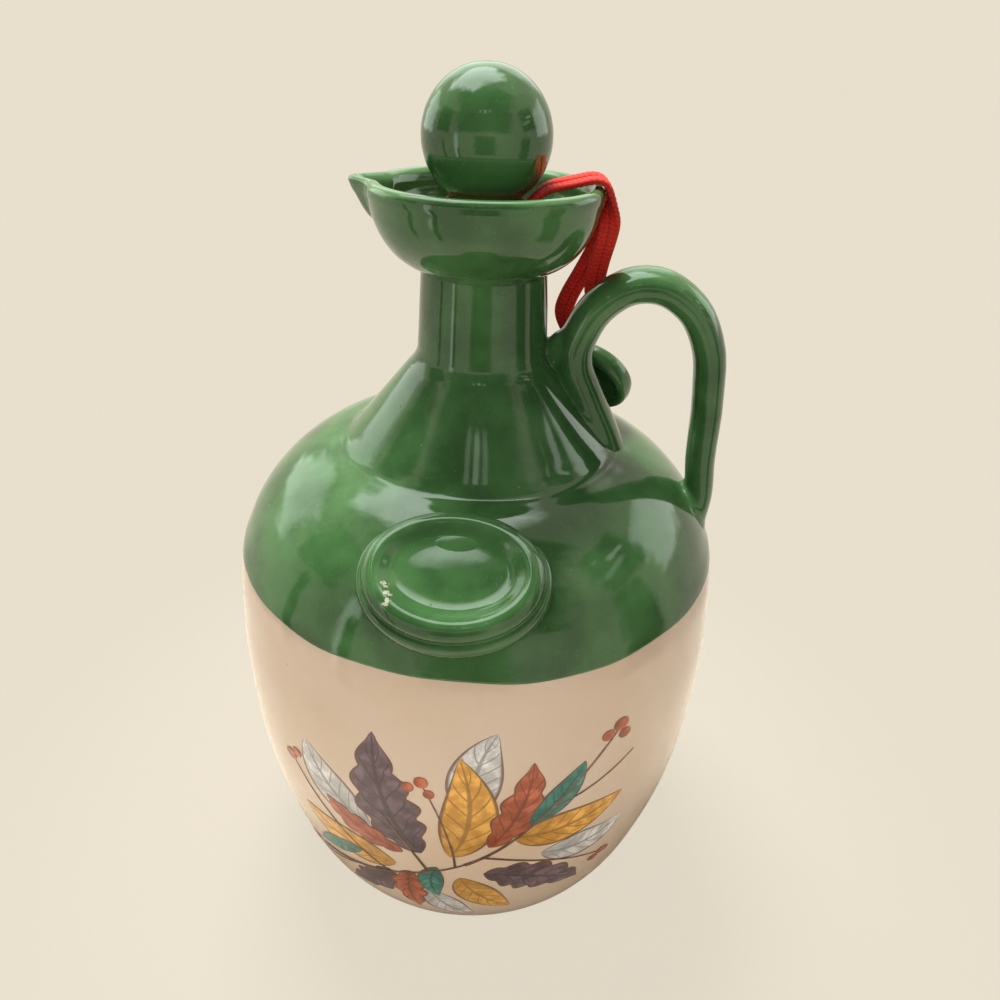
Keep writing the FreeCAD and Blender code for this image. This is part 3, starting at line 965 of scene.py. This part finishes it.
class JUG_OT_ribbon(bpy.types.Operator):
    """Braid the ribbon: hitch round the stem, two strands over the rim and bight in the seal"""

    bl_idname = "jug.ribbon"
    bl_label = "Ribbon"

    def execute(self, context):
        ribbon = context.scene.ribbon_sizes
        yarn = braid_yarn()
        radius, height = 7.15 * MM, 163.3 * MM
        ring = [Vector((radius * c, radius * s, height)) for c, s in circle(sides=330)]
        ring.append(ring[0])
        hitch = braid(
            "braid_hitch", ring, [UP * ribbon.width] * len(ring), ribbon.thickness, closed=True
        )
        dress(hitch, yarn, "ribbon_hitch", "ribbon", "ribbon_loop")

        line = smooth_line("bight", BIGHT_ROUTE)
        bight_thickness = 1.5 * MM
        widths = [SEAL_NORMAL * ribbon.gathered_width] * len(line)
        bight = braid("braid_bight", line, widths, bight_thickness)
        dress(bight, yarn, "jug", "ribbon", "ribbon_bight")

        gathering_run = 7 * MM
        level = Vector((0, 1, 0))
        shown = Vector((-1, -0.15, 0))
        for side, route in (("front", FRONT_STRAND_ROUTE), ("back", BACK_STRAND_ROUTE)):
            line = smooth_line(side, route)
            runs = runs_along(line)
            length = runs[-1]
            widths = []
            for run in runs:
                turned_over = eased((run / length - 0.34) / 0.3)
                spread = eased((length - run) / gathering_run)
                width = ribbon.gathered_width + (ribbon.width - ribbon.gathered_width) * spread
                widths.append(level.lerp(shown, turned_over).normalized() * width)
            strand = braid("braid_" + side, line, widths, ribbon.thickness)
            dress(strand, yarn, None, "ribbon", "ribbon_strand_" + side)
            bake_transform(strand)
        return {"FINISHED"}


def axes(x, z):
    """The turn that takes X and Z to two directions."""
    return Matrix((x, z.cross(x), z)).transposed().to_4x4()


class JUG_OT_seal(bpy.types.Operator):
    """Turn the round seal and hang it by its eye"""

    bl_idname = "jug.seal"
    bl_label = "Seal"

    def execute(self, context):
        disc = turned("glazed_seal", SEAL_PROFILE, steps=96)
        facing = axes(SEAL_ACROSS, SEAL_NORMAL)
        disc.data.transform(Matrix.Translation(SEAL_CENTRE * MM) @ facing)
        eye = added(
            "eye",
            bpy.ops.mesh.primitive_torus_add,
            major_segments=48,
            minor_segments=20,
            major_radius=2.15 * MM,
            minor_radius=0.75 * MM,
        )
        sideways = axes(SEAL_NORMAL, SEAL_ACROSS)
        widen = Matrix.Diagonal((1, 1, 2, 1))
        eye.data.transform(Matrix.Translation(SEAL_EYE * MM) @ sideways @ widen)
        seal = join("glazed_seal", [disc, eye])
        smooth(seal, 50)
        dress(seal, bpy.data.materials["glaze_green"], "seal", "green_glaze", "seal_pendant")
        return {"FINISHED"}


# The print is drawn flat, as seen from the front: start, bend and end of a stroke in millimetres
# across and up, half its width, and for leaves the lobes along each side and the layer of ink
PRINT_START_Y = -70
INK_STEP = 0.02
INK_THICKNESS = 0.06
LEAF_STEPS, TWIG_STEPS, BERRY_STEPS = (44, 12), (28, 3), (14, 10)
TWIG_LAYER, BERRY_LAYER = 6, 7
LEAVES = {
    "mist": (
        ((-16, 50), (-27, 56), (-30, 68), 5.5, 0, 0),
        ((20, 44), (30, 40), (37, 46), 5.0, 0, 0),
        ((6, 58), (4, 72), (10, 82), 5.5, 0, 0),
        ((-4, 28), (-2, 18), (6, 13), 4.5, 0, 0),
    ),
    "plum": (
        ((-5, 45), (-15, 58), (-14, 79), 7.5, 5, 2),
        ((8, 38), (20, 36), (29, 24), 6.5, 5, 2),
        ((-13, 34), (-15, 24), (-24, 17), 5.2, 4, 2),
    ),
    "amber": (
        ((1, 45), (8, 58), (3, 76), 6.0, 0, 3),
        ((-11, 38), (-22, 37), (-33, 44), 5.5, 0, 3),
        ((14, 52), (24, 50), (36, 56), 5.2, 0, 3),
        ((3, 36), (6, 26), (14, 18), 4.6, 0, 3),
    ),
    "rust": (
        ((9, 49), (17, 60), (17, 74), 4.8, 4, 4),
        ((-8, 36), (-10, 26), (-7, 15), 4.4, 4, 4),
        ((-9, 44), (-20, 47), (-26, 54), 3.8, 4, 4),
    ),
    "teal": (
        ((17, 56), (24, 62), (27, 71), 3.2, 0, 5),
        ((-2, 40), (-5, 33), (-2, 25), 3.0, 0, 5),
        ((-19, 38), (-27, 34), (-31, 29), 2.8, 0, 5),
    ),
}
TWIGS = (
    ((-31, 25), (-8, 34), (4, 42), 0.55),
    ((4, 42), (16, 50), (33, 76), 0.45),
    ((-4, 38), (-8, 48), (-13, 56), 0.35),
    ((8, 45), (20, 42), (33, 33), 0.32),
    ((-14, 34), (-24, 42), (-34, 58), 0.3),
    ((2, 41), (2, 52), (-4, 67), 0.3),
    ((22, 60), (30, 62), (37, 68), 0.25),
    ((-20, 30), (-28, 22), (-34, 22), 0.28),
)
# Middle and radius
BERRIES = (
    (-4.5, 68.5, 1.5), (-7.2, 66.6, 1.3), (-3.0, 65.4, 1.2), (33.4, 77.2, 1.5),
    (31.0, 75.6, 1.3), (34.4, 74.4, 1.2), (34.2, 32.4, 1.4), (32.2, 30.6, 1.2),
    (-34.8, 58.8, 1.4), (-33.0, 60.8, 1.2), (-34.6, 22.4, 1.3),
)


def stroke(start, bend, end, half_width, outline, layer, steps):
    """One flat stroke of the print, shaped from a grid along its bent midline."""
    piece = added(
        "stroke",
        bpy.ops.mesh.primitive_grid_add,
        x_subdivisions=steps[0],
        y_subdivisions=steps[1],
        size=1,
    )
    start, bend, end = (Vector(p) for p in (start, bend, end))
    for vertex in piece.data.vertices:
        share, side = vertex.co.x + 0.5, vertex.co.y * 2
        middle = start.lerp(bend, share).lerp(bend.lerp(end, share), share)
        heading = (bend - start).lerp(end - bend, share).normalized()
        reach = half_width * outline(share) * side
        x, z = middle + Vector((-heading.y, heading.x)) * reach
        vertex.co = Vector((x, PRINT_START_Y, z)) * MM
    wrap = {
        "target": bpy.data.objects["cream_body"],
        "wrap_method": "PROJECT",
        "use_project_y": True,
        "wrap_mode": "ABOVE_SURFACE",
        "offset": INK_STEP * (1 + layer) * MM,
    }
    ink = {"thickness": INK_THICKNESS * MM, "offset": -1}
    finish(piece, ("SHRINKWRAP", wrap), ("SOLIDIFY", ink))
    return piece


def leaf_outline(lobes):
    """Half the width of a leaf, as a share, along its midrib."""

    def outline(share):
        body = math.sin(math.pi * min(1, share**0.85)) ** 0.8
        if not lobes:
            return body
        return body * (1 - 0.3 * (1 - abs(math.sin(math.pi * (lobes * share + 0.25)))))

    return outline


def twig_outline(share):
    """A twig thins out along its run."""
    return 1 - 0.65 * share


def berry_outline(share):
    """A berry is round."""
    return math.sqrt(max(0, 1 - (2 * share - 1) ** 2))


def lay_print(name, strokes, ink):
    """Joins strokes of one ink into a thin piece on the jug."""
    piece = join(name, strokes)
    close_up(piece)
    smooth(piece, 60)
    dress(piece, ink, "jug", None)


class JUG_OT_print(bpy.types.Operator):
    """Print a spray of autumn leaves, twigs and berries on the front of the cream body"""

    bl_idname = "jug.print"
    bl_label = "Leaf print"

    def execute(self, context):
        tones = context.scene.jug_colours
        for tint, leaves in LEAVES.items():
            strokes = [
                stroke(start, bend, end, half_width, leaf_outline(lobes), layer, LEAF_STEPS)
                for start, bend, end, half_width, lobes, layer in leaves
            ]
            ink = printed("print_" + tint, getattr(tones, tint), veins=7)
            lay_print("print_leaves_" + tint, strokes, ink)
        strokes = [
            stroke(start, bend, end, half_width, twig_outline, TWIG_LAYER, TWIG_STEPS)
            for start, bend, end, half_width in TWIGS
        ]
        lay_print("print_twigs", strokes, printed("print_twig", tones.twig))
        strokes = [
            stroke((x - r, z), (x, z), (x + r, z), r, berry_outline, BERRY_LAYER, BERRY_STEPS)
            for x, z, r in BERRIES
        ]
        lay_print("print_berries", strokes, printed("print_berry", tones.rust))
        return {"FINISHED"}


# Stage: places and sizes in millimetres

# Name, setting of its power, place, target, size and tint of each soft lamp
LAMPS = (
    ("window", "key_power", (-110, 190, 680), (0, 0, 120), (260, 200), (1.0, 0.99, 0.97)),
    ("fill", "fill_power", (-60, -540, 320), (0, 0, 90), (500, 500), (1, 1, 1)),
)

# Glows of the cards that the glaze mirrors
DARK = (0.06, 0.07, 0.05)
SKY = (4.6, 5.0, 4.7)
BRIGHT_DAYLIGHT = (2.3, 2.5, 2.2)
DAYLIGHT = (1.9, 2.0, 1.8)
DULL_DAYLIGHT = (1.1, 1.2, 1.0)
# Name, place, size and glow of each card
CARDS = (
    ("dark_room", (0, -430, 430), (1300, 420), DARK),
    ("dark_ceiling", (0, -330, 880), (1600, 740), DARK),
    ("dark_front", (20, -430, 90), (360, 300), DARK),
    ("dark_left", (-340, -90, 300), (240, 240), DARK),
    ("sky_behind", (-60, 560, 520), (900, 480), DAYLIGHT),
    ("sky_above", (-140, 200, 760), (720, 640), SKY),
    ("daylight_left", (-560, 300, 330), (520, 400), BRIGHT_DAYLIGHT),
    ("daylight_right", (560, 280, 330), (520, 400), BRIGHT_DAYLIGHT),
    ("left_window", (-200, -190, 110), (44, 240), BRIGHT_DAYLIGHT),
    ("left_pane", (-58, -345, 504), (42, 62), DULL_DAYLIGHT),
    ("middle_pane", (4, -350, 500), (48, 70), DAYLIGHT),
    ("right_pane", (64, -340, 508), (40, 56), DULL_DAYLIGHT),
    ("left_post", (-130, -140, 70), (22, 170), DARK),
    ("far_left_post", (-210, -70, 80), (26, 190), DARK),
    ("right_post", (200, -60, 90), (90, 220), DARK),
    ("dark_right", (330, -40, 320), (230, 210), DARK),
    ("streak_low", (318, -60, 292), (120, 18), DULL_DAYLIGHT),
    ("streak_middle", (316, -20, 322), (90, 22), DAYLIGHT),
    ("streak_high", (308, -75, 352), (70, 14), DULL_DAYLIGHT),
)
CARD_TARGET = Vector((0, 0, 130))

FLOOR_SIDE = 12
PAPER_SHADE = 0.68
SHADOW_SHARE = 0.12
EVEN_LIGHT = (1.0, 0.97, 0.93)

CAMERA_PLACE = Vector((15.26, -149.38, 190.10))
CAMERA_FORWARD = Vector((-0.0596, 0.8529, -0.5187))
CAMERA_RIGHT = Vector((0.99756, 0.06976, 0))
CAMERA_ROLL = math.radians(2.16)
SENSOR_WIDTH = 36
NEAREST_SEEN = 5


def area_light(name, place, target, size, power, tint):
    """A soft rectangular lamp that faces a target and isn't mirrored."""
    lamp = bpy.data.lights.new(name, "AREA")
    lamp.shape = "RECTANGLE"
    lamp.size, lamp.size_y = (side * MM for side in size)
    lamp.energy = power
    lamp.color = tint
    light = bpy.data.objects.new(name, lamp)
    bpy.context.scene.collection.objects.link(light)
    light.location = Vector(place) * MM
    light.rotation_euler = (Vector(target) - Vector(place)).to_track_quat("-Z", "Y").to_euler()
    light.visible_glossy = False


def card(name, place, size, glow):
    """A plain card that shows only as a reflection in the glaze."""
    piece = added(name, bpy.ops.mesh.primitive_plane_add, size=1)
    facing = (CARD_TARGET - Vector(place)).to_track_quat("Z", "Y").to_matrix().to_4x4()
    stretch = Matrix.Diagonal((size[0] * MM, size[1] * MM, 1, 1))
    piece.data.transform(Matrix.Translation(Vector(place) * MM) @ facing @ stretch)
    piece.visible_camera = piece.visible_diffuse = piece.visible_shadow = False
    material = bpy.data.materials.new(name)
    nodes = Shading(material)
    chart = nodes.add("ShaderNodeTexCoord").other("UV")
    flat = nodes.add("ShaderNodeSeparateXYZ", sockets={0: chart})
    edge = (0.5 - abs(flat - 0.5)).at_most(0.5 - abs(flat.other("Y") - 0.5))
    solid = (edge * 2 + nodes.noise(chart, scale=5) * 0.7).rise(0.4, 0.75)
    clear = nodes.add("ShaderNodeBsdfTransparent")
    shown = nodes.add("ShaderNodeEmission", sockets={"Color": glow})
    nodes.show("ShaderNodeOutputMaterial", solid, clear, shown)
    piece.data.materials.append(material)


class JUG_OT_stage(bpy.types.Operator):
    """Set the pale floor, the lamps, the backdrop and the camera"""

    bl_idname = "jug.stage"
    bl_label = "Stage"

    def execute(self, context):
        scene = context.scene
        scene.view_settings.view_transform = "Standard"
        self.lay_floor(scene.jug_stage)
        self.light_world(scene, scene.jug_stage)
        for name, power, place, target, size, tint in LAMPS:
            area_light(name, place, target, size, getattr(scene.jug_stage, power), tint)
        for row in CARDS:
            card(*row)
        self.set_camera(scene, scene.jug_stage)
        return {"FINISHED"}

    def lay_floor(self, stage):
        """A paper floor that looks plain far from the jug and keeps the jug's shadow."""
        floor = added("floor", bpy.ops.mesh.primitive_plane_add, size=FLOOR_SIDE)
        material = bpy.data.materials.new("pale_floor")
        nodes = Shading(material)
        rays = nodes.add("ShaderNodeLightPath")
        seen = rays.other("Is Camera Ray")
        mirrored = rays.other("Is Glossy Ray")
        shaded = scaled(stage.background, PAPER_SHADE)
        paper = nodes.add("ShaderNodeBsdfDiffuse", sockets={"Color": shaded})
        plain = nodes.add("ShaderNodeEmission", sockets={"Color": stage.background})
        place = nodes.add("ShaderNodeTexCoord").other("Object")
        away = nodes.add("ShaderNodeVectorMath", {"operation": "LENGTH"}, {0: place}, "Value")
        share = seen * (1 - SHADOW_SHARE + SHADOW_SHARE * away.rise(0.07, 0.16))
        share = share.at_least(mirrored * away.rise(0.1, 0.24))
        nodes.show("ShaderNodeOutputMaterial", share, paper, plain)
        floor.data.materials.append(material)

    def light_world(self, scene, stage):
        """An even light from all round, behind which the plain background is seen."""
        scene.world = scene.world or bpy.data.worlds.new("studio")
        sky = Shading(scene.world)
        rays = sky.add("ShaderNodeLightPath")
        seen = (rays.other("Is Camera Ray") + rays.other("Is Glossy Ray")).at_most(1)
        even, plain = (
            sky.add("ShaderNodeBackground", sockets={"Color": tint, "Strength": strength})
            for tint, strength in ((EVEN_LIGHT, stage.ambient), (stage.background, 1.0))
        )
        sky.show("ShaderNodeOutputWorld", seen, even, plain)

    def set_camera(self, scene, stage):
        """A camera at the photograph's viewing angle."""
        lens = bpy.data.cameras.new("camera")
        lens.sensor_width = SENSOR_WIDTH
        lens.lens = stage.lens
        lens.clip_start = NEAREST_SEEN * MM
        camera = bpy.data.objects.new("camera", lens)
        scene.collection.objects.link(camera)
        forward = CAMERA_FORWARD.normalized()
        level = CAMERA_RIGHT.normalized()
        upright = level.cross(forward)
        right = level * math.cos(CAMERA_ROLL) + upright * math.sin(CAMERA_ROLL)
        upward = upright * math.cos(CAMERA_ROLL) - level * math.sin(CAMERA_ROLL)
        turn = Matrix((right, upward, -forward)).transposed().to_4x4()
        camera.matrix_world = Matrix.Translation(CAMERA_PLACE * MM) @ turn
        scene.camera = camera


PIECE_OPERATORS = (
    JUG_OT_stage,
    JUG_OT_ribbon,
    JUG_OT_cream_body,
    JUG_OT_green_skin,
    JUG_OT_pouring_bowl,
    JUG_OT_handle,
    JUG_OT_medallion,
    JUG_OT_stopper,
    JUG_OT_seal,
    JUG_OT_print,
)


class JUG_PT_panel(bpy.types.Panel):
    """Lists the jug's sizes, colours and pieces"""

    bl_idname = "JUG_PT_panel"
    bl_label = "Jug decanter"
    bl_space_type = "VIEW_3D"
    bl_region_type = "UI"
    bl_category = "Jug decanter"

    def draw(self, context):
        for group in SETTINGS:
            box = self.layout.box()
            settings = getattr(context.scene, group)
            for name in SETTINGS[group].__annotations__:
                box.prop(settings, name)
        for operator in PIECE_OPERATORS:
            self.layout.operator(operator.bl_idname)


SETTINGS = {
    "jug_sizes": JugSizes,
    "ribbon_sizes": RibbonSizes,
    "jug_colours": JugColours,
    "jug_stage": StageSettings,
}


def register():
    for group, kind in SETTINGS.items():
        bpy.utils.register_class(kind)
        setattr(bpy.types.Scene, group, bpy.props.PointerProperty(type=kind))
    for kind in (*PIECE_OPERATORS, JUG_PT_panel):
        bpy.utils.register_class(kind)


def unregister():
    for kind in (JUG_PT_panel, *reversed(PIECE_OPERATORS)):
        bpy.utils.unregister_class(kind)
    for group, kind in SETTINGS.items():
        delattr(bpy.types.Scene, group)
        bpy.utils.unregister_class(kind)


def main():
    register()
    for operator in PIECE_OPERATORS:
        area, name = operator.bl_idname.split(".")
        getattr(getattr(bpy.ops, area), name)()


if __name__ == "__main__":
    main()
